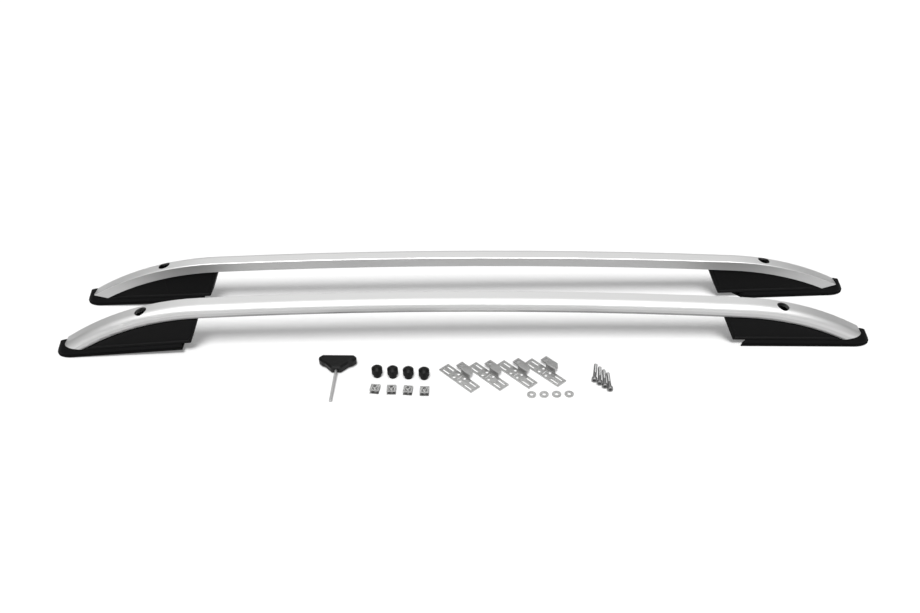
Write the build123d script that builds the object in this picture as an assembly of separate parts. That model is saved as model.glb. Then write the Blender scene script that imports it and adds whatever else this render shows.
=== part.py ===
from build123d import *
import os
from math import acos, asin, atan, cos, degrees, radians, sin, sqrt, tan

# Pair of roof side rails with the loose kit that fixes them to a roof.
# X runs along the rails, the roof plane is Z = 0 and the two rails mirror each other across Y.
# Sizes are in millimetres and degrees.

# The pair
rail_length = 1500.0  # over the tips of the gaskets
rail_spacing = 161.0  # between the lines where the planes of the two bars meet the roof
right_rail_shift = 5.6  # the right rail lies this much further along

# Section of the extruded bar
bar_width = 34.0
bar_outer_height = 28.4
bar_inner_height = 19.2
bar_wall = 2.2
shoulder_radius = 13.0
inner_edge_radius = 2.0
outer_lower_radius = 8.0

# Line of the bar, seen from the side
crown_height = 79.0  # lower edge of the bar above the roof plane
crown_offset = -125.0  # the highest point lies ahead of the middle
bow_radius = 9300.0
bend_radius = 492.0
bar_tip_run = 26.0  # the bar's tips run straight over their last stretch
bar_lean = 7.5  # the bar leans in over the roof
bar_setback = 60.0  # from the tip of the gasket to where the bar's lower edge lands

# Feet
front_base_slope = 2.5  # the front feet follow a roof that falls away
toe_angle = 1.8
gasket_thickness = 4.0
front_gasket_length = 235.0
rear_gasket_outer_length = 237.0  # the inner ends of the rear bases run slantwise
rear_gasket_inner_length = 202.0
gasket_half_width = 19.5
gasket_tip = 31.0
gasket_lip = 1.5  # the gasket shows this far round the foot
flange_height = 7.5
flange_edge = 3.5  # upright edge below the flange's slope
flange_taper = 30.0
nose_slope = 16.0  # the flange rises towards its tip, where the bar ends on it
foot_width = 30.0
foot_start = 40.0  # where the body comes out of the flange
foot_length = 252.5
foot_end_slope = 25.0  # of the inner end, from upright
foot_rim = 4.5
foot_recess = 1.6
foot_wall = 2.5
foot_roof = 3.0
foot_corner_radius = 2.0
rib_thickness = 2.0
rib_count = 4
bar_clearance = 0.15

# Bolt well of a foot, reached through a hole in the top of the bar
bolt_setback = 169.0
well_diameter = 23.0
well_bore = 20.0
well_floor = 8.0
well_clearance = 0.3
well_drop = 5.2  # of the well's rim below the top wall of the bar
bolt_hole = 6.6
bar_hole = 22.0

# Screw that holds a foot to the bar from below
screw_diameter = 4.2
screw_head_width = 7.0
screw_head_height = 2.6
screw_seat_depth = 9.0  # of the seat below the bar
screw_grip = 6.0  # length past the bar's lower face
screw_boss = 9.0
screw_clearance = 0.15
screw_setback = 226.0

# Caps that close the holes
cap_head_height = 14.0
cap_stem_diameter = 13.6
cap_stem_height = 7.8
cap_bore = 9.0
cap_edge_bevel = 4.0
cap_rib_count = 16
cap_rib_share = 0.7  # of a rib and its groove
cap_groove_depth = 0.5
cap_clearance = 0.3
cap_gap = 8.5

# Clip nuts
nut_width = 16.0
nut_length = 20.0
nut_height = 7.2
nut_sheet = 1.3
nut_lip = 1.5  # the lower leg reaches out this far
nut_boss_diameter = 9.5
nut_boss_height = 2.8
nut_thread_bore = 5.2
nut_gap = 12.9

# Roof brackets, folded sheet
bracket_length = 84.0
bracket_width = 22.6
bracket_sheet = 2.0
bracket_slot_length = 17.0
bracket_slot_width = 3.6
bracket_slot_spacing = 11.0
bracket_slot_inset = 5.0
bracket_hole = 5.4
bracket_hole_offset = 8.0
bracket_cross_slot_length = 14.0
bracket_cross_slot_width = 2.0
bracket_web_width = 22.0
bracket_web_start = -7.5
bracket_web_height = 7.5
bracket_bend_radius = 3.0
bracket_tab_reach = 16.5
bracket_tab_side = 15.0  # the tab reaches this far past the web
bracket_tab_cut = 9.0
bracket_tab_hole = 6.6
bracket_gap = 1.1
bracket_stagger = 31.2
bracket_turn = -47.6

# Bolts and washers
bolt_diameter = 6.0
bolt_length = 40.0
bolt_head_diameter = 10.0
bolt_head_height = 6.0
bolt_socket_depth = 3.2
washer_diameter = 16.0
washer_bore = 6.6
washer_thickness = 2.0
washer_gap = 5.7

# Hex key with a cross handle
key_size = 5.0
key_reach = 74.5
key_socket = 20.0
key_clearance = 0.05
handle_width = 68.0
handle_depth = 34.0
handle_thickness = 16.0
handle_hub_width = 17.0
handle_wing_depth = 17.5
handle_neck_share = 0.8  # of the way from the hub up to the wings, in their middle
handle_edge_radius = 4.0
handle_edge_bevel = 3.0

# Places of the kit: along the rails, and out from the near rail's line
pieces_per_kit = 4
row_drift = 2.4
cap_start = (-152.0, 80.0)
nut_start = (-153.5, 118.3)
bracket_start = (-6.0, 91.0)
washer_start = (119.0, 136.5)
bolt_start = (231.0, 106.8)
key_start = (-226.0, 73.0)
nut_turns = (-8.0, -1.0, -6.0, -2.0)
key_turn = -2.0
bolt_turn = -10.8
bolt_gap = 0.2  # between a bolt's head and the next bolt's shank

# Reach of the cutting shapes, larger than any piece that they cut
past = 60.0

ends = {"front": -1, "rear": 1}
base_slopes = {-1: front_base_slope, 1: 0.0}
base_lengths = {
    -1: (front_gasket_length, front_gasket_length),
    1: (rear_gasket_inner_length, rear_gasket_outer_length),
}
flange_top = gasket_thickness + flange_height
screw_hole = screw_diameter + 2 * screw_clearance


def underside(across):
    """Height of the bar's sloping lower face in its section."""
    return (bar_outer_height - bar_inner_height) * (0.5 + across / bar_width)


def bar_section():
    """Flat top, sharp inner edge and full outer shoulder; the outer side is at the left."""
    half = bar_width / 2
    low = [(half, underside(half)), (-half, underside(-half))]
    high = [(-half, bar_outer_height), (half, bar_outer_height)]
    radii = [0, outer_lower_radius, shoulder_radius, inner_edge_radius]
    return make_face(FilletPolyline(*low, *high, radius=radii, close=True))


def hollow_section():
    """Hollow of the bar: the wall is even, and flat across the shoulder."""
    half = bar_width / 2 - bar_wall
    slant = shoulder_radius * (2 - sqrt(2))
    top = bar_outer_height - bar_wall
    low = [(half, underside(half) + bar_wall), (-half, underside(-half) + bar_wall)]
    shoulder = [(-half, top - slant), (slant - half, top)]
    return make_face(Polyline(*low, *shoulder, (half, top), close=True))


def room_section(floor):
    """Everything above an open line across the bar's section."""
    high = crown_height + 2 * past
    return make_face(Polyline(*floor, (past, high), (-past, high), close=True))


def bar_floor():
    """Line of the bar's underside, flat across its rounded outer edge."""
    half = bar_width / 2
    slant = outer_lower_radius * (2 - sqrt(2))
    outer = underside(-half) + slant
    inner = slant - half
    return [(-past, outer), (-half, outer), (inner, underside(inner)), (past, underside(past))]


def well_rim():
    """Line of the top of a bolt well, below the curve of the shoulder."""
    height = bar_outer_height - bar_wall - well_drop
    return [(-past, height), (past, height)]


def bend_centre(bow_centre, landing):
    """Centre of the end bend that runs into the bow and passes the landing point."""
    reach = bow_radius - bend_radius
    gap = landing - bow_centre
    along = (reach**2 - bend_radius**2 + gap.length**2) / (2 * gap.length)
    middle = bow_centre + gap.normalized() * along
    side = Vector(gap.Z, 0, -gap.X).normalized() * sqrt(reach**2 - along**2)
    return min((middle + side, middle - side), key=lambda centre: abs(centre.X))


def arc(centre, radius, first, last):
    """Arc in the bar's plane between two angles, which turn from upright towards +X."""
    angles = (first, (first + last) / 2, last)
    return ThreePointArc(*[centre + Vector(sin(angle), 0, cos(angle)) * radius for angle in angles])


def bar_line():
    """Lower edge of the bar from front to rear: straight tips, end bends and a bow, all tangent."""
    upright = cos(radians(bar_lean))
    bow_centre = Vector(crown_offset, 0, crown_height / upright - bow_radius)
    tip_length = bar_tip_run + bar_outer_height
    bends = {}
    joints = {}
    for end, slope in base_slopes.items():
        height = flange_top + bar_setback * tan(radians(slope))
        landing = Vector(end * (rail_length / 2 - bar_setback), 0, height / upright)
        centre = bend_centre(bow_centre, landing)
        top_lands = acos((flange_top - centre.Z) / (bend_radius + bar_outer_height))
        stop = end * (top_lands - bar_tip_run / bend_radius)
        joints[end] = asin((centre - bow_centre).X / (bow_radius - bend_radius))
        first, last = (stop, joints[end]) if end < 0 else (joints[end], stop)
        bends[end] = arc(centre, bend_radius, first, last)
    bow = arc(bow_centre, bow_radius, joints[-1], joints[1])
    front_tip = Line(bends[-1] @ 0 - (bends[-1] % 0) * tip_length, bends[-1] @ 0)
    rear_tip = Line(bends[1] @ 1, bends[1] @ 1 + (bends[1] % 1) * tip_length)
    return Wire([run.edge() for run in (front_tip, bends[-1], bow, bends[1], rear_tip)])


lower_edge = bar_line()


def along_bar(section):
    """A section carried along the bar, upright although the plane of the bar leans in."""
    start = Plane(origin=lower_edge @ 0, x_dir=(0, 1, 0), z_dir=lower_edge % 0)
    return Rot(-bar_lean, 0, 0) * sweep(start * (Rot(0, 0, bar_lean) * section), path=lower_edge)


def bar_point(end, setback):
    """Point of the bar's lower edge line, a distance in from the tip of the gasket."""
    x = end * (rail_length / 2 - setback)
    share = 0.5
    step = 0.25
    while step > 1e-9:
        share += step if (lower_edge @ share).X < x else -step
        step /= 2
    return (Rot(-bar_lean, 0, 0) * Vertex(*(lower_edge @ share))).center()


def end_frame(end):
    """Frame at the tip of a gasket on the roof: +X towards the middle of the rail, +Z up."""
    turn = toe_angle if end < 0 else 180 - toe_angle
    return Pos(end * rail_length / 2, 0, 0) * Rot(0, 0, turn) * Rot(0, -base_slopes[end], 0)


def base_plan(end, inset):
    """Plan of a base: a rounded tip, straight sides and an end that may run slantwise."""
    half = gasket_half_width - inset
    tip = Pos(gasket_tip, 0) * Ellipse(gasket_tip - inset, half)
    right, left = base_lengths[end]
    sides = [(gasket_tip, -half), (right - inset, -half), (left - inset, half), (gasket_tip, half)]
    return tip + make_face(Polyline(*sides, close=True))


def block_below(end, height):
    """Everything below a plane in the frame of a base, and below the slope of its nose."""
    block = Pos(0, 0, -past) * Box(8 * past, 4 * past, 2 * past)
    nose = Pos(bar_setback, 0, height) * Rot(0, nose_slope, 0) * block
    return end_frame(end) * (Pos(0, 0, height) * block + nose)


def column(diameter, low, high):
    """Upright cylinder between two heights."""
    return Pos(0, 0, (low + high) / 2) * Cylinder(diameter / 2, high - low)


def bolt_axis(end):
    """Place on the roof below the bolt, in the middle of the bar's width."""
    point = bar_point(end, bolt_setback)
    return Pos(point.X, point.Y, bolt_setback * tan(radians(base_slopes[end])))


def screw_seat(end):
    """Seat of the head of a foot's screw, its axis upright below the bar."""
    point = bar_point(end, screw_setback)
    return Pos(point.X, point.Y, point.Z - screw_seat_depth)


def rail_bar():
    """Hollow bent bar, cut off at the flanges, with holes for the bolt wells and screws."""
    bar = along_bar(bar_section()) - along_bar(hollow_section())
    for end in ends.values():
        bar -= block_below(end, flange_top + bar_clearance)
        axis = bolt_axis(end)
        middle = bar_point(end, bolt_setback).Z - axis.position.Z + bar_outer_height / 2
        bar -= axis * column(well_diameter + 2 * well_clearance, -past, middle)
        bar -= axis * column(bar_hole, middle, middle + past)
        bar -= screw_seat(end) * column(screw_hole, 0, screw_seat_depth + bar_outer_height / 2)
    return bar


def gasket(end):
    """Rubber pad under a foot, open round the bolt well."""
    pad = extrude(base_plan(end, 0), gasket_thickness)
    return end_frame(end) * pad - bolt_axis(end) * column(well_diameter, -past, past)


def foot_profile(inset, low):
    """Side view of a foot's body, inset from its slanted inner end; the bar trims its top."""
    high = crown_height + past
    slant = tan(radians(foot_end_slope))
    back = foot_length - inset - flange_top * slant
    inner_end = [(back + low * slant, low), (back + high * slant, high)]
    corners = [(foot_start, low), *inner_end, (foot_start, high)]
    return make_face(Polyline(*corners, close=True))


def slab(profile, half_width):
    """A side view made solid to both sides of a foot's middle plane."""
    return extrude(Plane.XZ * profile, half_width, both=True)


def foot_body(frame):
    """Wedge under the bar with a sunk panel in each side."""
    half = foot_width / 2
    body = slab(foot_profile(0, flange_top), half)
    end_face = body.faces().sort_by(Axis.X)[-1]
    body = fillet(end_face.edges().filter_by(Axis.Y, reverse=True), foot_corner_radius)
    rims = []
    for depth in (0, foot_recess):
        outline = foot_profile(foot_rim + depth, flange_top + foot_rim + depth)
        rims.append(Plane.XZ.offset(half - depth) * outline)
    panel = loft(rims, ruled=True)
    return frame * (body - panel - mirror(panel, about=Plane.XZ))


def foot_hollow(frame, below_bar):
    """Hollow of a foot, open below and divided by cross ribs."""
    hollow = slab(foot_profile(foot_wall, -past), foot_width / 2 - foot_recess - foot_wall)
    hollow -= Pos(bar_setback - past, 0, 0) * Box(2 * past, foot_width, 8 * past)
    pitch = (foot_length - bar_setback) / (rib_count + 1)
    for rib in range(1, rib_count + 1):
        hollow -= Pos(bar_setback + rib * pitch, 0, 0) * Box(rib_thickness, foot_width, 8 * past)
    return frame * hollow - Pos(0, 0, -foot_roof) * below_bar


def foot(end, above_bar, above_well):
    """Moulded foot: flange, body under the bar, ribbed hollow, screw boss and bolt well."""
    frame = end_frame(end)
    axis = bolt_axis(end)
    seat = screw_seat(end)
    plan = Pos(0, 0, gasket_thickness) * base_plan(end, gasket_lip)
    slope = extrude(Pos(0, 0, flange_edge) * plan, gasket_half_width, taper=flange_taper)
    flange = frame * (extrude(plan, flange_edge) + slope) & block_below(end, flange_top)
    solid = flange + (foot_body(frame) - above_bar)
    hollow = foot_hollow(frame, above_bar)
    solid -= hollow - seat * column(screw_boss, 0, past)
    below = Pos(foot_length / 2, 0, gasket_thickness - past) * Box(2 * foot_length, 4 * past, 2 * past)
    solid += axis * column(well_diameter, 0, crown_height + past) - above_well - frame * below
    solid -= axis * column(well_bore, gasket_thickness + well_floor, crown_height + past)
    solid -= axis * column(bolt_hole, -past, past)
    solid -= seat * column(screw_hole, -past, past)
    return solid - seat * column(screw_boss, -past, 0)


def foot_screw():
    """Hex-head screw, head down, its seat at the origin."""
    head = extrude(RegularPolygon(screw_head_width / 2, 6, major_radius=False), -screw_head_height)
    return head + column(screw_diameter, 0, screw_seat_depth + screw_grip)


def ribbed_plan(radius):
    """Round plan of a cap's head: flat ribs parted by grooves."""
    pitch = 360 / cap_rib_count
    corners = []
    for rib in range(cap_rib_count):
        groove = (cap_rib_share + 1) / 2
        for turn, inset in ((0, 0), (cap_rib_share, 0), (groove, cap_groove_depth)):
            angle = radians((rib + turn) * pitch)
            corners.append(((radius - inset) * cos(angle), (radius - inset) * sin(angle)))
    return make_face(Polyline(*corners, close=True))


def hole_cap():
    """Push-in cap standing on its hollow stem, the head ribbed along its side."""
    radius = well_bore / 2 - cap_clearance
    smooth = radius - cap_groove_depth
    side_height = cap_head_height - cap_edge_bevel
    top = Cone(smooth, smooth - cap_edge_bevel, cap_edge_bevel)
    head = extrude(ribbed_plan(radius), side_height) + Pos(0, 0, side_height + cap_edge_bevel / 2) * top
    cap = Pos(0, 0, cap_stem_height) * head
    cap += column(cap_stem_diameter, 0, cap_stem_height)
    return cap - column(cap_bore, -past, cap_stem_height + cap_head_height / 2)


def clip_nut():
    """Folded clip, open towards -Y, with a threaded boss on its upper leg."""
    bend = nut_height / 2
    outside = Pos(0, bend) * Rectangle(nut_length, nut_height)
    outside = fillet(outside.vertices().group_by(Axis.X)[-1], bend - nut_sheet / 4)
    gap_height = nut_height - 2 * nut_sheet
    gap = Pos(-nut_sheet, bend) * Rectangle(nut_length, gap_height)
    gap = fillet(gap.vertices().group_by(Axis.X)[-1], gap_height / 2 - nut_sheet / 4)
    upper_end = Pos(-nut_length / 2, nut_height) * Rectangle(2 * nut_lip, nut_height)
    profile = outside - gap - upper_end
    clip = Pos(nut_width / 2, 0, 0) * Rot(0, 0, 90) * extrude(Plane.XZ * profile, nut_width)
    clip = Pos(-clip.bounding_box().center().X, -clip.bounding_box().center().Y, 0) * clip
    boss = column(nut_boss_diameter, nut_height - nut_sheet / 2, nut_height + nut_boss_height)
    clip += boss
    clip -= column(nut_thread_bore, nut_height / 2, past)
    return clip - column(bolt_hole, -past, nut_height / 2)


def bracket():
    """Folded bracket: slotted plate and a raised tab beside its middle."""
    edge = bracket_width / 2
    plate = Pos(0, 0, bracket_sheet / 2) * Box(bracket_length, bracket_width, bracket_sheet)
    plate = chamfer(plate.edges().filter_by(Axis.Z), bracket_sheet / 2)
    middle = bracket_sheet / 2
    high = bracket_web_height + middle
    bend_end = edge + bracket_bend_radius + bracket_sheet
    fold = FilletPolyline(
        (0, middle),
        (edge + middle, middle),
        (edge + middle, high),
        (bend_end + bracket_sheet, high),
        radius=bracket_bend_radius - middle,
    )
    leg = extrude(Plane.YZ * trace(fold, bracket_sheet), bracket_web_width)
    plate += Pos(bracket_web_start, 0, 0) * leg
    near = edge + bracket_sheet
    far = edge + bracket_tab_reach
    side = bracket_web_start - bracket_tab_side
    web_end = bracket_web_start + bracket_web_width
    tab = [(bracket_web_start, near), (side, near), (side, far), (web_end - bracket_tab_cut, far)]
    tab += [(web_end, far - bracket_tab_cut), (web_end, bend_end), (bracket_web_start, bend_end)]
    plate += Pos(0, 0, bracket_web_height) * extrude(make_face(Polyline(*tab, close=True)), bracket_sheet)
    hole_inset = (far - near) / 2
    plate -= Pos(side + hole_inset, far - hole_inset, 0) * column(bracket_tab_hole, bracket_sheet, past)
    slot = Box(bracket_slot_length, bracket_slot_width, 3 * bracket_sheet)
    slot_x = bracket_length / 2 - bracket_slot_inset - bracket_slot_length / 2
    for place in GridLocations(2 * slot_x, bracket_slot_spacing, 2, 2):
        plate -= place * slot
    for place in GridLocations(2 * bracket_hole_offset, bracket_slot_spacing, 2, 2):
        plate -= place * column(bracket_hole, -past, 2 * bracket_sheet)
    return plate - Box(bracket_cross_slot_width, bracket_cross_slot_length, 3 * bracket_sheet)


def washer():
    """Plain washer lying flat."""
    return column(washer_diameter, 0, washer_thickness) - column(washer_bore, -past, past)


def hex_bar(size, length):
    """Hexagonal bar along -Y from the origin, a flat below."""
    return extrude(Plane.XZ * RegularPolygon(size / 2, 6, major_radius=False), length)


def on_floor(piece):
    """A piece lifted or lowered until it rests on the roof plane."""
    return Pos(0, 0, -piece.bounding_box().min.Z) * piece


def bolt():
    """Socket-head bolt lying on its head and its tip, head towards -Y."""
    whole = column(bolt_head_diameter, 0, bolt_head_height) + column(bolt_diameter, -bolt_length, 0)
    socket = RegularPolygon(key_size / 2 + key_clearance, 6, major_radius=False)
    whole -= Pos(0, 0, bolt_head_height - bolt_socket_depth) * extrude(socket, bolt_socket_depth)
    droop = degrees(atan((bolt_head_diameter - bolt_diameter) / 2 / bolt_length))
    return on_floor(Rot(90 - droop, 0, 0) * (Pos(0, 0, -bolt_head_height) * whole))


def key_pieces():
    """Handle and shaft of the hex key, resting on the handle's edge and the shaft's tip."""
    hub = handle_hub_width / 2
    wing = handle_width / 2
    shoulder = handle_depth - handle_wing_depth
    corner = handle_wing_depth / 3
    right = [(hub, 0), ((hub + wing) / 2, handle_neck_share * shoulder), (wing - corner, shoulder)]
    right += [(wing, shoulder + corner), (wing, handle_depth - corner), (wing - corner, handle_depth)]
    left = [(-x, y) for x, y in reversed(right)]
    outline = make_face(FilletPolyline(*right, *left, radius=handle_edge_radius, close=True))
    handle = Pos(0, 0, -handle_thickness / 2) * extrude(outline, handle_thickness)
    rims = handle.edges().group_by(Axis.Z)
    handle = chamfer(rims[0] + rims[-1], handle_edge_bevel)
    handle -= Pos(0, key_socket, 0) * hex_bar(key_size + 2 * key_clearance, key_socket + past)
    shaft = hex_bar(key_size, key_socket + key_reach)
    shaft = chamfer(shaft.faces().sort_by(Axis.Y)[0].edges(), key_size / 10)
    shaft = Pos(0, key_socket, 0) * shaft
    droop = degrees(atan((handle_thickness - key_size) / 2 / (key_reach + handle_edge_radius)))
    key = [Rot(droop, 0, 0) * piece for piece in (handle, shaft)]
    floor = min(piece.bounding_box().min.Z for piece in key)
    return [Pos(0, 0, -floor) * piece for piece in key]


def laid(place, along=0.0, out=0.0):
    """Place of a loose piece, its start moved along the rails and out from them."""
    return Pos(place[0] + along, -rail_spacing / 2 - place[1] - out, 0)


parts = {}

# The left rail, and the right rail as its mirror image
rail = {"rail_bar": rail_bar()}
above_bar = Pos(0, 0, -bar_clearance) * along_bar(room_section(bar_floor()))
above_well = Pos(0, 0, -bar_clearance) * along_bar(room_section(well_rim()))
screws = []
for name, end in ends.items():
    rail[name + "_foot"] = foot(end, above_bar, above_well)
    rail[name + "_gasket"] = gasket(end)
    screws.append(screw_seat(end) * foot_screw())
left_line = Pos(0, -rail_spacing / 2, 0)
right_line = Pos(right_rail_shift, rail_spacing / 2, 0)
for name, piece in rail.items():
    parts["left_" + name] = left_line * piece
    parts["right_" + name] = right_line * mirror(piece, about=Plane.XZ)
foot_screws = [left_line * screw for screw in screws]
foot_screws += [right_line * mirror(screw, about=Plane.XZ) for screw in screws]
parts["foot_screws"] = Compound(foot_screws)

# The loose kit in front of the rails
cap = hole_cap()
nut = clip_nut()
plate = bracket()
ring = washer()
stud = bolt()
washers = []
bolts = []
cap_pitch = well_bore - 2 * cap_clearance + cap_gap
nut_pitch = nut_width + nut_gap
washer_pitch = washer_diameter + washer_gap
bracket_pitch = bracket_width + bracket_tab_reach + bracket_gap
bolt_step = (bolt_head_diameter + bolt_diameter) / 2 + bolt_gap
bolt_fan = degrees(asin((bolt_step - bolt_diameter) / (bolt_head_height + bolt_length)))
for count in range(pieces_per_kit):
    number = str(count + 1)
    drift = count * row_drift
    parts["hole_cap_" + number] = laid(cap_start, count * cap_pitch, drift) * cap
    nut_turn = Rot(0, 0, nut_turns[count])
    parts["clip_nut_" + number] = laid(nut_start, count * nut_pitch, drift) * nut_turn * nut
    step = Pos(count * bracket_stagger, count * bracket_pitch, 0)
    parts["bracket_" + number] = laid(bracket_start) * Rot(0, 0, bracket_turn) * step * plate
    washers.append(laid(washer_start, count * washer_pitch) * ring)
    turn = Rot(0, 0, bolt_turn + count * bolt_fan)
    bolts.append(laid(bolt_start, count * bolt_step, count * bolt_step) * turn * stud)
parts["washers"] = Compound(washers)
parts["bolts"] = Compound(bolts)
handle, shaft = key_pieces()
key_place = laid(key_start) * Rot(0, 0, key_turn)
parts["key_handle"] = key_place * handle
parts["key_shaft"] = key_place * shaft

# The origin is on the roof plane below the middle of the whole set
corners = [piece.bounding_box() for piece in parts.values()]
middle_x = (min(box.min.X for box in corners) + max(box.max.X for box in corners)) / 2
middle_y = (min(box.min.Y for box in corners) + max(box.max.Y for box in corners)) / 2
os.makedirs("parts", exist_ok=True)
for name, piece in parts.items():
    export_step(Pos(-middle_x, -middle_y, 0) * piece, "parts/" + name + ".step")
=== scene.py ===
"""Finishes and studio stage for a pair of roof side rails and their loose fixing kit."""

from math import asin, atan2, cos, pi, radians, sin

import bpy
from mathutils import Euler, Matrix, Vector


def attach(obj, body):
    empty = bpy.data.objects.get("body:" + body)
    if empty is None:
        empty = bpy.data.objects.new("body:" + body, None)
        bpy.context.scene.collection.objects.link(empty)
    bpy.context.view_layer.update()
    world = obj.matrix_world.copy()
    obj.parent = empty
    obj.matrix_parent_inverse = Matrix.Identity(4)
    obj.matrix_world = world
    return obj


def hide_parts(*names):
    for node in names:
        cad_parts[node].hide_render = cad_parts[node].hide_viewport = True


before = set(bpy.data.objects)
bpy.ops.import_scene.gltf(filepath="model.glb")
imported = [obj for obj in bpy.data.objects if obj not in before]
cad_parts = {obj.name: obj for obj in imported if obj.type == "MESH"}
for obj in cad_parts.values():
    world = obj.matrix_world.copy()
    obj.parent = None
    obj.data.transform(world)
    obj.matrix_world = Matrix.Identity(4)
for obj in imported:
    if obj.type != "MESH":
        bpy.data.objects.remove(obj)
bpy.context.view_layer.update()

bl_info = {
    "name": "Roof side rail pair",
    "version": (1, 0, 0),
    "blender": (4, 5, 0),
    "location": "View3D > Sidebar > Roof rails",
    "description": "Finishes a pair of roof side rails with their fixing kit and sets up a studio round them",
    "category": "Object",
}

SIDES = ("left", "right")
ENDS = ("front", "rear")
KIT_COUNT = 4
MILLIMETRE = 0.001
MICROMETRE = 0.000001
SENSOR_WIDTH = 36.0  # millimetres
SIDES_ROUND_BOLT = 36
RINGS_PER_TURN = 8
SHARP_EDGE = radians(35.0)


def colour(name, description, grey, tint=(1.0, 1.0, 1.0)):
    """A colour that a user may change, given as a grey and a slight tint."""
    return bpy.props.FloatVectorProperty(
        name=name,
        description=description,
        subtype="COLOR",
        default=[grey * part for part in tint],
        min=0.0,
        max=1.0,
    )


def share(name, description, default):
    """A number between 0 and 1 that a user may change."""
    return bpy.props.FloatProperty(
        name=name, description=description, subtype="FACTOR", default=default, min=0.0, max=1.0
    )


def length(name, description, millimetres):
    """A length that a user may change."""
    return bpy.props.FloatProperty(
        name=name,
        description=description,
        unit="LENGTH",
        subtype="DISTANCE",
        default=millimetres * MILLIMETRE,
        precision=4,
    )


class RailFinishes(bpy.types.PropertyGroup):
    """Colours and gloss of the rails and their kit."""

    silver: colour("Rail silver", "Satin aluminium on the tops of the bars", 0.8, (1.0, 1.0, 0.995))
    # Painted shade: the darker grey that the bars' base colour fades to as their surface turns downward, not a duller
    # metal
    silver_painted_shade: colour("Rail silver below", "Duller aluminium on their undersides", 0.3)
    silver_roughness: share("Rail roughness", "How far the bars blur what they mirror", 0.48)
    moulding: colour("Moulding black", "Grained plastic of the feet", 0.0035, (1.0, 1.0, 1.05))
    moulding_roughness: share("Moulding roughness", "Sheen of the feet", 0.52)
    rubber: colour("Rubber black", "Gaskets under the feet", 0.003)
    cap: colour("Cap black", "Plastic of the hole caps and the key handle", 0.006)
    zinc: colour("Zinc", "Plated sheet of the brackets, clip nuts and washers", 0.46, (1.0, 1.0, 0.99))
    zinc_roughness: share("Zinc roughness", "How far the plated sheet blurs what it mirrors", 0.36)
    bolt: colour("Bolt steel", "Dull plated steel of the bolts and screws", 0.26)
    bolt_roughness: share("Bolt roughness", "How far the bolts blur what they mirror", 0.5)
    key: colour("Key steel", "Bare steel of the key shaft", 0.46)


class BoltSizes(bpy.types.PropertyGroup):
    """Sizes and places of the bolts, which get their threads here."""

    diameter: length("Diameter", "Outside diameter of the thread", 6.0)
    length: length("Length", "Length under the head", 40.0)
    thread_length: length("Thread length", "Threaded stretch at the tip", 26.0)
    thread_depth: length("Thread depth", "Depth of the thread's groove", 0.55)
    pitch: length("Pitch", "Rise of the thread in one turn", 1.0)
    head_diameter: length("Head diameter", "Diameter of the head", 10.0)
    head_height: length("Head height", "Height of the head", 6.0)
    socket_width: length("Socket width", "Width of the hexagonal socket across its flats", 5.1)
    socket_depth: length("Socket depth", "Depth of the hexagonal socket", 3.2)
    bevel: length("Bevel", "Bevel of the head's rim and the tip", 0.5)
    first: bpy.props.FloatVectorProperty(
        name="First bolt",
        description="Place of the first bolt's head on the floor",
        subtype="TRANSLATION",
        unit="LENGTH",
        default=(0.228287, -0.122847, 0.0),
        precision=5,
    )
    gap: length("Gap", "Between a bolt's head and the next bolt's shank", 0.2)
    first_turn: bpy.props.FloatProperty(
        name="First turn", description="Heading of the first bolt", unit="ROTATION", default=radians(-10.8)
    )


class StudioSettings(bpy.types.PropertyGroup):
    """Floor, light and camera."""

    floor: colour("Floor", "Pale floor", 0.8)
    floor_lift: share("Floor lift", "Light that the floor adds of its own where it is seen, so that it is white", 0.2)
    fill: share("Fill", "Strength of the white surroundings as a light", 0.34)
    horizon: share("Horizon", "Brightness of the surroundings at the height of the floor", 0.22)
    horizon_rise: share("Horizon rise", "Height in the sky above which the surroundings are white", 0.75)
    horizon_fall: share("Horizon fall", "Depth below the horizon from which the surroundings are white", 0.28)
    side_shift: share("Side shift", "How far to the left the brightest part of the surroundings lies", 0.03)
    side_start: share("Side start", "How far off to the sides the surroundings begin to darken", 0.36)
    side_end: share("Side end", "How far off to the sides they are as dark as the horizon", 0.8)
    floor_half_width: length("Floor half width", "From the middle of the floor to its sides", 1800.0)
    floor_front: length("Floor front", "From the middle of the set to the front of the floor", 1300.0)
    floor_back: length("Floor back", "From the middle of the set to the back of the floor", 2300.0)
    key_strength: bpy.props.FloatProperty(
        name="Key strength", description="Strength of the wide soft lamp above", default=2.9, min=0.0
    )
    key_width: bpy.props.FloatProperty(
        name="Key width", description="Angle that the lamp fills", unit="ROTATION", default=radians(25.0)
    )
    key_height: bpy.props.FloatProperty(
        name="Key height", description="Angle of the lamp above the floor", unit="ROTATION", default=radians(65.0)
    )
    camera_place: bpy.props.FloatVectorProperty(
        name="Camera place",
        description="Where the camera stands",
        subtype="TRANSLATION",
        unit="LENGTH",
        default=(0.001225, -1.301455, 1.060272),
        precision=5,
    )
    camera_pitch: bpy.props.FloatProperty(
        name="Camera pitch", description="Angle from looking straight down", unit="ROTATION", default=radians(53.0)
    )
    camera_heading: bpy.props.FloatProperty(
        name="Camera heading", description="Turn about the upright", unit="ROTATION", default=radians(0.3103)
    )
    camera_roll: bpy.props.FloatProperty(
        name="Camera roll", description="Turn about the line of sight", unit="ROTATION", default=radians(-1.0238)
    )
    camera_lens: bpy.props.FloatProperty(
        name="Lens", description="Focal length in millimetres on a 36 mm wide sensor", default=35.115
    )


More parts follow.
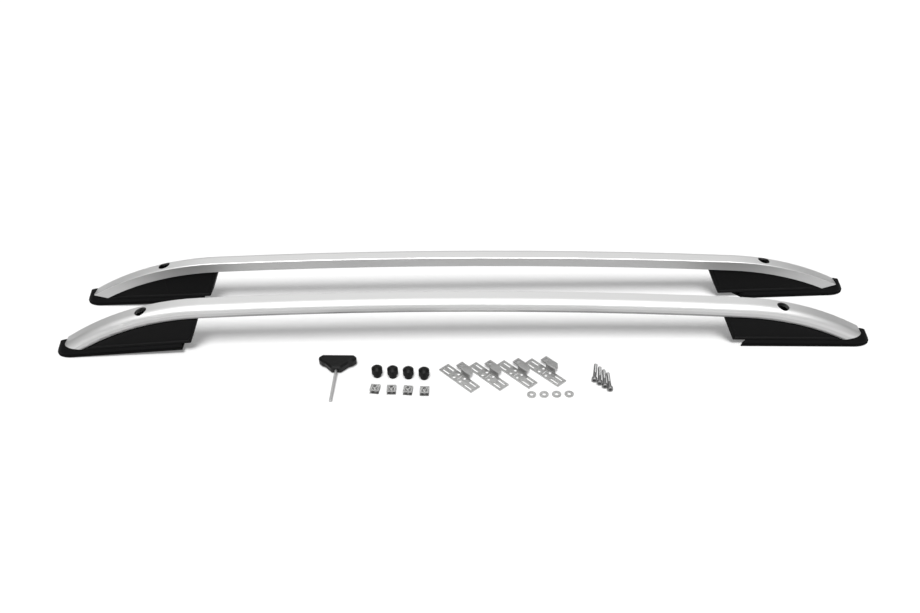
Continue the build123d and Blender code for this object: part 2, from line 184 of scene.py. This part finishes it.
class Field:
    """An output of a shader: sums, products and | for the larger of two numbers become Math nodes."""

    def __init__(self, shader, socket):
        self.shader = shader
        self.socket = socket

    def combined(self, operation, first, second):
        return self.shader.node("Math", {"operation": operation}, {0: first, 1: second})

    def __add__(self, other):
        return self.combined("ADD", self, other)

    def __radd__(self, other):
        return self.combined("ADD", other, self)

    def __sub__(self, other):
        return self.combined("SUBTRACT", self, other)

    def __rsub__(self, other):
        return self.combined("SUBTRACT", other, self)

    def __mul__(self, other):
        return self.combined("MULTIPLY", self, other)

    def __rmul__(self, other):
        return self.combined("MULTIPLY", other, self)

    def __or__(self, other):
        return self.combined("MAXIMUM", self, other)

    def __ror__(self, other):
        return self.combined("MAXIMUM", other, self)


class Shader:
    """A node tree that is filled one node at a time."""

    def __init__(self, tree):
        self.tree = tree
        tree.nodes.clear()

    def plug(self, socket, value):
        """Gives a socket a link or a plain value."""
        if isinstance(value, Field):
            self.tree.links.new(value.socket, socket)
        elif socket.type == "RGBA":
            socket.default_value = (*value, 1.0)
        else:
            socket.default_value = value

    def node(self, kind, settings=None, values=None, output=0):
        """Adds a node: its settings first, then the values or links of its sockets."""
        node = self.tree.nodes.new("ShaderNode" + kind)
        for key, setting in (settings or {}).items():
            setattr(node, key, setting)
        for key, value in (values or {}).items():
            self.plug(node.inputs[key], value)
        return Field(self, node.outputs[output]) if node.outputs else None

    def place(self, scale=(1.0, 1.0, 1.0)):
        """Position on the object in metres, stretched by a scale."""
        point = self.node("TexCoord", output="Object")
        return self.node("Mapping", values={"Vector": point, "Scale": scale})

    def noise(self, place, scale, detail=2.0, roughness=0.5):
        """Soft random cloud between 0 and 1."""
        values = {"Vector": place, "Scale": scale, "Detail": detail, "Roughness": roughness}
        return self.node("TexNoise", values=values)

    def between(self, amount, low, high):
        """A colour between two colours, which a Mix node takes at its sockets 6 and 7."""
        return self.node("Mix", {"data_type": "RGBA"}, {0: amount, 6: low, 7: high}, 2)

    def bump(self, height, depth):
        """Normal of a surface whose relief has a depth in micrometres."""
        return self.node("Bump", values={"Height": height, "Distance": depth * MICROMETRE, "Strength": 1.0})

    def end(self, surface, kind="Material"):
        """Sends a surface to the output."""
        self.node("Output" + kind, values={"Surface": surface})


def shades(grey, spread):
    """A colour a little darker and a little lighter than a given one."""
    return [part * (1 - spread) for part in grey], [part * (1 + spread) for part in grey]


def finish(name, paint):
    """A material whose shader is made by a function that returns the sockets of a Principled BSDF."""
    material = bpy.data.materials.new(name)
    material.use_nodes = True
    shader = Shader(material.node_tree)
    shader.end(shader.node("BsdfPrincipled", values=paint(shader)))
    return material


def satin_silver(looks):
    """Satin aluminium: fine grain along the bar, a faint drift in the gloss, and painted shade that darkens the base
    colour where the surface turns down to the sides and the underside.
    """

    def paint(shader):
        along_bar = (30.0, 1600.0, 1600.0)
        grain = shader.noise(shader.place(along_bar), 1.0, 3.0)
        drift = shader.noise(shader.place(), 6.0, 2.0)
        low, high = shades(looks.silver, 0.025)
        bright = shader.between(grain * 0.5 + drift * 0.5, low, high)
        # Painted shade: the base colour goes from the silver of the tops to the darker grey of the sides and
        # undersides as the surface faces further down
        facing = shader.node("TexCoord", output="Normal")
        upward = shader.node("SeparateXYZ", values={"Vector": facing}, output="Z")
        turn = {"Value": upward, "From Min": -0.4, "From Max": 0.42}
        painted_light_share = shader.node("MapRange", {"interpolation_type": "SMOOTHSTEP"}, turn)
        relief = shader.noise(shader.place(), 2600.0, 1.0)
        return {
            "Base Color": shader.between(painted_light_share, looks.silver_painted_shade, bright),
            "Metallic": 1.0,
            "Roughness": looks.silver_roughness - 0.05 + grain * 0.06 + drift * 0.04,
            "Normal": shader.bump(relief, 4.0),
        }

    return finish("rail_silver", paint)


def moulded_black(name, tone, roughness, grain_scale, depth, gloss):
    """Black moulding with a fine grain, whose depth is in micrometres."""

    def paint(shader):
        grain = shader.node("TexVoronoi", values={"Vector": shader.place(), "Scale": grain_scale})
        cloud = shader.noise(shader.place(), grain_scale / 40, 3.0)
        low, high = shades(tone, 0.18)
        return {
            "Base Color": shader.between(cloud, low, high),
            "Roughness": roughness - 0.06 + cloud * 0.1 + grain * 0.06,
            "Specular IOR Level": gloss,
            "Normal": shader.bump(grain, depth),
        }

    return finish(name, paint)


def plated(name, tone, roughness, spread=0.1):
    """Plated steel: cloudy passivation, faint rolling lines and a fine grain."""

    def paint(shader):
        cloud = shader.noise(shader.place(), 90.0, 4.0, 0.6)
        rolling = (900.0, 900.0, 60.0)
        lines = shader.noise(shader.place(rolling), 1.0, 2.0)
        low, high = shades(tone, spread)
        return {
            "Base Color": shader.between(cloud, low, high),
            "Metallic": 1.0,
            "Roughness": roughness - 0.1 + cloud * 0.14 + lines * 0.06,
            "Normal": shader.bump(lines, 12.0),
        }

    return finish(name, paint)


def numbered(name):
    return [name + "_" + str(number) for number in range(1, KIT_COUNT + 1)]


def dress(material, *nodes):
    """Gives CAD pieces their finish."""
    for node in nodes:
        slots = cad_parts[node].data.materials
        slots.clear()
        slots.append(material)


def add_piece(name, vertices, faces, material, slot, *nodes):
    """A new mesh that rides with the set and stands for CAD pieces."""
    mesh = bpy.data.meshes.new(name)
    mesh.from_pydata(vertices, [], faces)
    mesh.validate()
    mesh.materials.append(material)
    piece = bpy.data.objects.new(name, mesh)
    bpy.context.scene.collection.objects.link(piece)
    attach(piece, "root")
    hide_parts(*nodes)
    return piece


class RAILS_OT_bars(bpy.types.Operator):
    """Finish the two bars in satin silver"""

    bl_idname = "roof_rails.bars"
    bl_label = "Bars"

    def execute(self, context):
        dress(satin_silver(context.scene.rail_finishes), *[side + "_rail_bar" for side in SIDES])
        return {"FINISHED"}


class RAILS_OT_feet(bpy.types.Operator):
    """Finish the feet, their gaskets and their screws"""

    bl_idname = "roof_rails.feet"
    bl_label = "Feet"

    def execute(self, context):
        looks = context.scene.rail_finishes
        places = [side + "_" + end for side in SIDES for end in ENDS]
        plastic = {"roughness": looks.moulding_roughness, "grain_scale": 1400.0, "depth": 40.0, "gloss": 0.09}
        moulding = moulded_black("foot_black", looks.moulding, **plastic)
        pad = {"roughness": 0.75, "grain_scale": 700.0, "depth": 60.0, "gloss": 0.08}
        rubber = moulded_black("gasket_rubber", looks.rubber, **pad)
        dress(moulding, *[place + "_foot" for place in places])
        dress(rubber, *[place + "_gasket" for place in places])
        dress(plated("screw_steel", looks.bolt, looks.bolt_roughness), "foot_screws")
        return {"FINISHED"}


class RAILS_OT_caps(bpy.types.Operator):
    """Finish the hole caps"""

    bl_idname = "roof_rails.caps"
    bl_label = "Hole caps"

    def execute(self, context):
        looks = context.scene.rail_finishes
        ribbed = {"roughness": 0.45, "grain_scale": 2500.0, "depth": 20.0, "gloss": 0.15}
        dress(moulded_black("cap_black", looks.cap, **ribbed), *numbered("hole_cap"))
        return {"FINISHED"}


class RAILS_OT_sheet_parts(bpy.types.Operator):
    """Finish the plated sheet pieces: clip nuts, brackets and washers"""

    bl_idname = "roof_rails.sheet_parts"
    bl_label = "Clip nuts, brackets and washers"

    def execute(self, context):
        looks = context.scene.rail_finishes
        clip = plated("clip_steel", looks.zinc, looks.zinc_roughness)
        plate = plated("bracket_steel", looks.zinc, looks.zinc_roughness)
        ring = plated("washer_steel", looks.zinc, looks.zinc_roughness)
        dress(clip, *numbered("clip_nut"))
        dress(plate, *numbered("bracket"))
        dress(ring, "washers")
        return {"FINISHED"}


def bolt_rings(sizes):
    """Distances along a bolt from the socket's floor over the head to the tip, each with its radius.

    The socket and the thread are named instead, because their radius changes round the bolt.
    """
    head = sizes.head_diameter / 2
    shank = sizes.diameter / 2
    under = sizes.head_height
    tip = under + sizes.length
    thread = tip - sizes.thread_length
    rings = [(sizes.socket_depth, 0.0), (sizes.socket_depth, "socket"), (0.0, "socket")]
    rings += [(0.0, head - sizes.bevel), (sizes.bevel, head), (under, head), (under, shank), (thread, shank)]
    steps = round(sizes.thread_length / sizes.pitch * RINGS_PER_TURN)
    rings += [(thread + (tip - thread) * step / steps, "thread") for step in range(steps + 1)]
    return rings + [(tip, 0.0)]


def bolt_radius(sizes, kind, distance, angle):
    """Radius of a bolt at a distance from the top of its head and an angle round it, for a kind from bolt_rings."""
    if kind == "socket":
        within = (angle + pi / 6) % (pi / 3) - pi / 6
        return sizes.socket_width / 2 / cos(within)
    if kind == "thread":
        tip = sizes.head_height + sizes.length
        turn = (distance / sizes.pitch - angle / (2 * pi)) % 1.0
        groove = sizes.thread_depth * (1 - abs(2 * turn - 1))
        run_out = min(1.0, (distance - tip + sizes.thread_length) / sizes.pitch)
        chamfer = max(0.0, sizes.bevel - (tip - distance))
        return sizes.diameter / 2 - max(groove * run_out, chamfer)
    return kind


def bolt_mesh(sizes, around):
    """Points and faces of one bolt along +Y, the top of its head at the origin."""
    rings = bolt_rings(sizes)
    points = []
    for distance, kind in rings:
        for step in range(around):
            angle = 2 * pi * step / around
            radius = bolt_radius(sizes, kind, distance, angle)
            points.append(Vector((radius * cos(angle), distance, radius * sin(angle))))
    faces = []
    for ring in range(len(rings) - 1):
        for step in range(around):
            after = (step + 1) % around
            low = ring * around
            faces.append((low + step, low + after, low + around + after, low + around + step))
    return points, faces


class RAILS_OT_bolts(bpy.types.Operator):
    """Make the bolts with their threads and sockets, lying where the plain ones lie"""

    bl_idname = "roof_rails.bolts"
    bl_label = "Bolts"

    def execute(self, context):
        sizes = context.scene.rail_bolts
        looks = context.scene.rail_finishes
        outline, cells = bolt_mesh(sizes, SIDES_ROUND_BOLT)
        step = (sizes.head_diameter + sizes.diameter) / 2 + sizes.gap
        fan = asin((step - sizes.diameter) / (sizes.head_height + sizes.length))
        droop = atan2((sizes.head_diameter - sizes.diameter) / 2, sizes.length)
        lift = sizes.head_diameter / 2 * cos(droop) + sizes.head_height * sin(droop)
        points = []
        faces = []
        for count in range(KIT_COUNT):
            shift = Vector((count * step, -count * step, lift))
            heading = Euler((-droop, 0.0, sizes.first_turn + count * fan)).to_matrix().to_4x4()
            place = Matrix.Translation(Vector(sizes.first) + shift) @ heading
            base = len(points)
            points += [place @ point for point in outline]
            faces += [[base + corner for corner in face] for face in cells]
        steel = plated("bolt_steel", looks.bolt, looks.bolt_roughness)
        piece = add_piece("threaded_bolts", points, faces, steel, "bolt_steel", "bolts")
        piece.data.polygons.foreach_set("use_smooth", [True] * len(piece.data.polygons))
        piece.data.set_sharp_from_angle(angle=SHARP_EDGE)
        return {"FINISHED"}


class RAILS_OT_key(bpy.types.Operator):
    """Finish the hex key's handle and shaft"""

    bl_idname = "roof_rails.key"
    bl_label = "Hex key"

    def execute(self, context):
        looks = context.scene.rail_finishes
        grip = {"roughness": 0.42, "grain_scale": 1800.0, "depth": 30.0, "gloss": 0.18}
        dress(moulded_black("handle_black", looks.cap, **grip), "key_handle")
        dress(plated("key_steel", looks.key, looks.zinc_roughness), "key_shaft")
        return {"FINISHED"}


def seen_directly(shader):
    """1 for rays from the camera and for mirrored or refracted ones, 0 for light that a surface scatters."""
    camera = shader.node("LightPath", output="Is Camera Ray")
    glossy = shader.node("LightPath", output="Is Glossy Ray")
    return camera | glossy | shader.node("LightPath", output="Is Transmission Ray")


class RAILS_OT_studio(bpy.types.Operator):
    """Lay the pale floor and set up the light and the camera"""

    bl_idname = "roof_rails.studio"
    bl_label = "Studio"

    def execute(self, context):
        studio = context.scene.rail_studio
        self.lay_floor(context, studio)
        self.light(context, studio)
        self.aim_camera(context, studio)
        context.scene.view_settings.view_transform = "Standard"
        return {"FINISHED"}

    def lay_floor(self, context, studio):
        half = studio.floor_half_width
        front = [(-half, -studio.floor_front, 0.0), (half, -studio.floor_front, 0.0)]
        corners = front + [(half, studio.floor_back, 0.0), (-half, studio.floor_back, 0.0)]
        mesh = bpy.data.meshes.new("floor")
        mesh.from_pydata(corners, [], [(0, 1, 2, 3)])
        material = bpy.data.materials.new("floor_white")
        material.use_nodes = True
        shader = Shader(material.node_tree)
        matt = shader.node("BsdfDiffuse", values={"Color": studio.floor})
        lift = shader.node("Emission", values={"Strength": seen_directly(shader) * studio.floor_lift})
        shader.end(shader.node("AddShader", values={0: matt, 1: lift}))
        mesh.materials.append(material)
        floor = bpy.data.objects.new("floor", mesh)
        context.scene.collection.objects.link(floor)

    def light(self, context, studio):
        world = bpy.data.worlds.new("studio")
        world.use_nodes = True
        context.scene.world = world
        shader = Shader(world.node_tree)
        direction = shader.node("TexCoord", output="Generated")
        height = shader.node("SeparateXYZ", values={"Vector": direction}, output="Z")
        aside = shader.node("SeparateXYZ", values={"Vector": direction}, output="X") + studio.side_shift
        soft = {"interpolation_type": "SMOOTHSTEP"}
        rise = {"Value": height, "From Max": studio.horizon_rise, "To Min": studio.horizon}
        fall = {"Value": height, "From Max": -studio.horizon_fall, "To Min": studio.horizon}
        sides = {"Value": aside * aside, "To Min": 1.0, "To Max": studio.horizon}
        sides |= {"From Min": studio.side_start**2, "From Max": studio.side_end**2}
        sky = shader.node("MapRange", soft, rise) | shader.node("MapRange", soft, fall)
        sky *= shader.node("MapRange", soft, sides)
        strength = sky * (seen_directly(shader) * (1.0 - studio.fill) + studio.fill)
        shader.end(shader.node("Background", values={"Color": (1.0, 1.0, 1.0), "Strength": strength}), "World")
        key = bpy.data.lights.new("key", "SUN")
        key.energy = studio.key_strength
        key.angle = studio.key_width
        lamp = bpy.data.objects.new("key", key)
        lamp.rotation_euler = (pi / 2 - studio.key_height, 0.0, 0.0)
        context.scene.collection.objects.link(lamp)

    def aim_camera(self, context, studio):
        camera = bpy.data.objects.new("camera", bpy.data.cameras.new("camera"))
        camera.data.sensor_width = SENSOR_WIDTH
        camera.data.lens = studio.camera_lens
        turns = [("Z", studio.camera_heading), ("X", studio.camera_pitch), ("Z", studio.camera_roll)]
        view = Matrix.Translation(studio.camera_place)
        for axis, angle in turns:
            view = view @ Matrix.Rotation(angle, 4, axis)
        camera.matrix_world = view
        context.scene.collection.objects.link(camera)
        context.scene.camera = camera


OPERATORS = (
    RAILS_OT_bars,
    RAILS_OT_feet,
    RAILS_OT_caps,
    RAILS_OT_sheet_parts,
    RAILS_OT_bolts,
    RAILS_OT_key,
    RAILS_OT_studio,
)
SETTINGS = {"rail_finishes": RailFinishes, "rail_bolts": BoltSizes, "rail_studio": StudioSettings}


class RAILS_PT_sidebar(bpy.types.Panel):
    """Sidebar list of the steps and their settings"""

    bl_idname = "RAILS_PT_sidebar"
    bl_label = "Roof side rails"
    bl_space_type = "VIEW_3D"
    bl_region_type = "UI"
    bl_category = "Roof rails"

    def draw(self, context):
        for operator in OPERATORS:
            self.layout.operator(operator.bl_idname)
        for name in SETTINGS:
            group = getattr(context.scene, name)
            box = self.layout.box()
            for setting in group.__annotations__:
                box.prop(group, setting)


def register():
    for group in SETTINGS.values():
        bpy.utils.register_class(group)
    for operator in OPERATORS:
        bpy.utils.register_class(operator)
    bpy.utils.register_class(RAILS_PT_sidebar)
    for name, group in SETTINGS.items():
        setattr(bpy.types.Scene, name, bpy.props.PointerProperty(type=group))


def unregister():
    for name in SETTINGS:
        delattr(bpy.types.Scene, name)
    bpy.utils.unregister_class(RAILS_PT_sidebar)
    for operator in reversed(OPERATORS):
        bpy.utils.unregister_class(operator)
    for group in SETTINGS.values():
        bpy.utils.unregister_class(group)


def main():
    register()
    bpy.ops.roof_rails.bars()
    bpy.ops.roof_rails.feet()
    bpy.ops.roof_rails.caps()
    bpy.ops.roof_rails.sheet_parts()
    bpy.ops.roof_rails.bolts()
    bpy.ops.roof_rails.key()
    bpy.ops.roof_rails.studio()


if __name__ == "__main__":
    main()
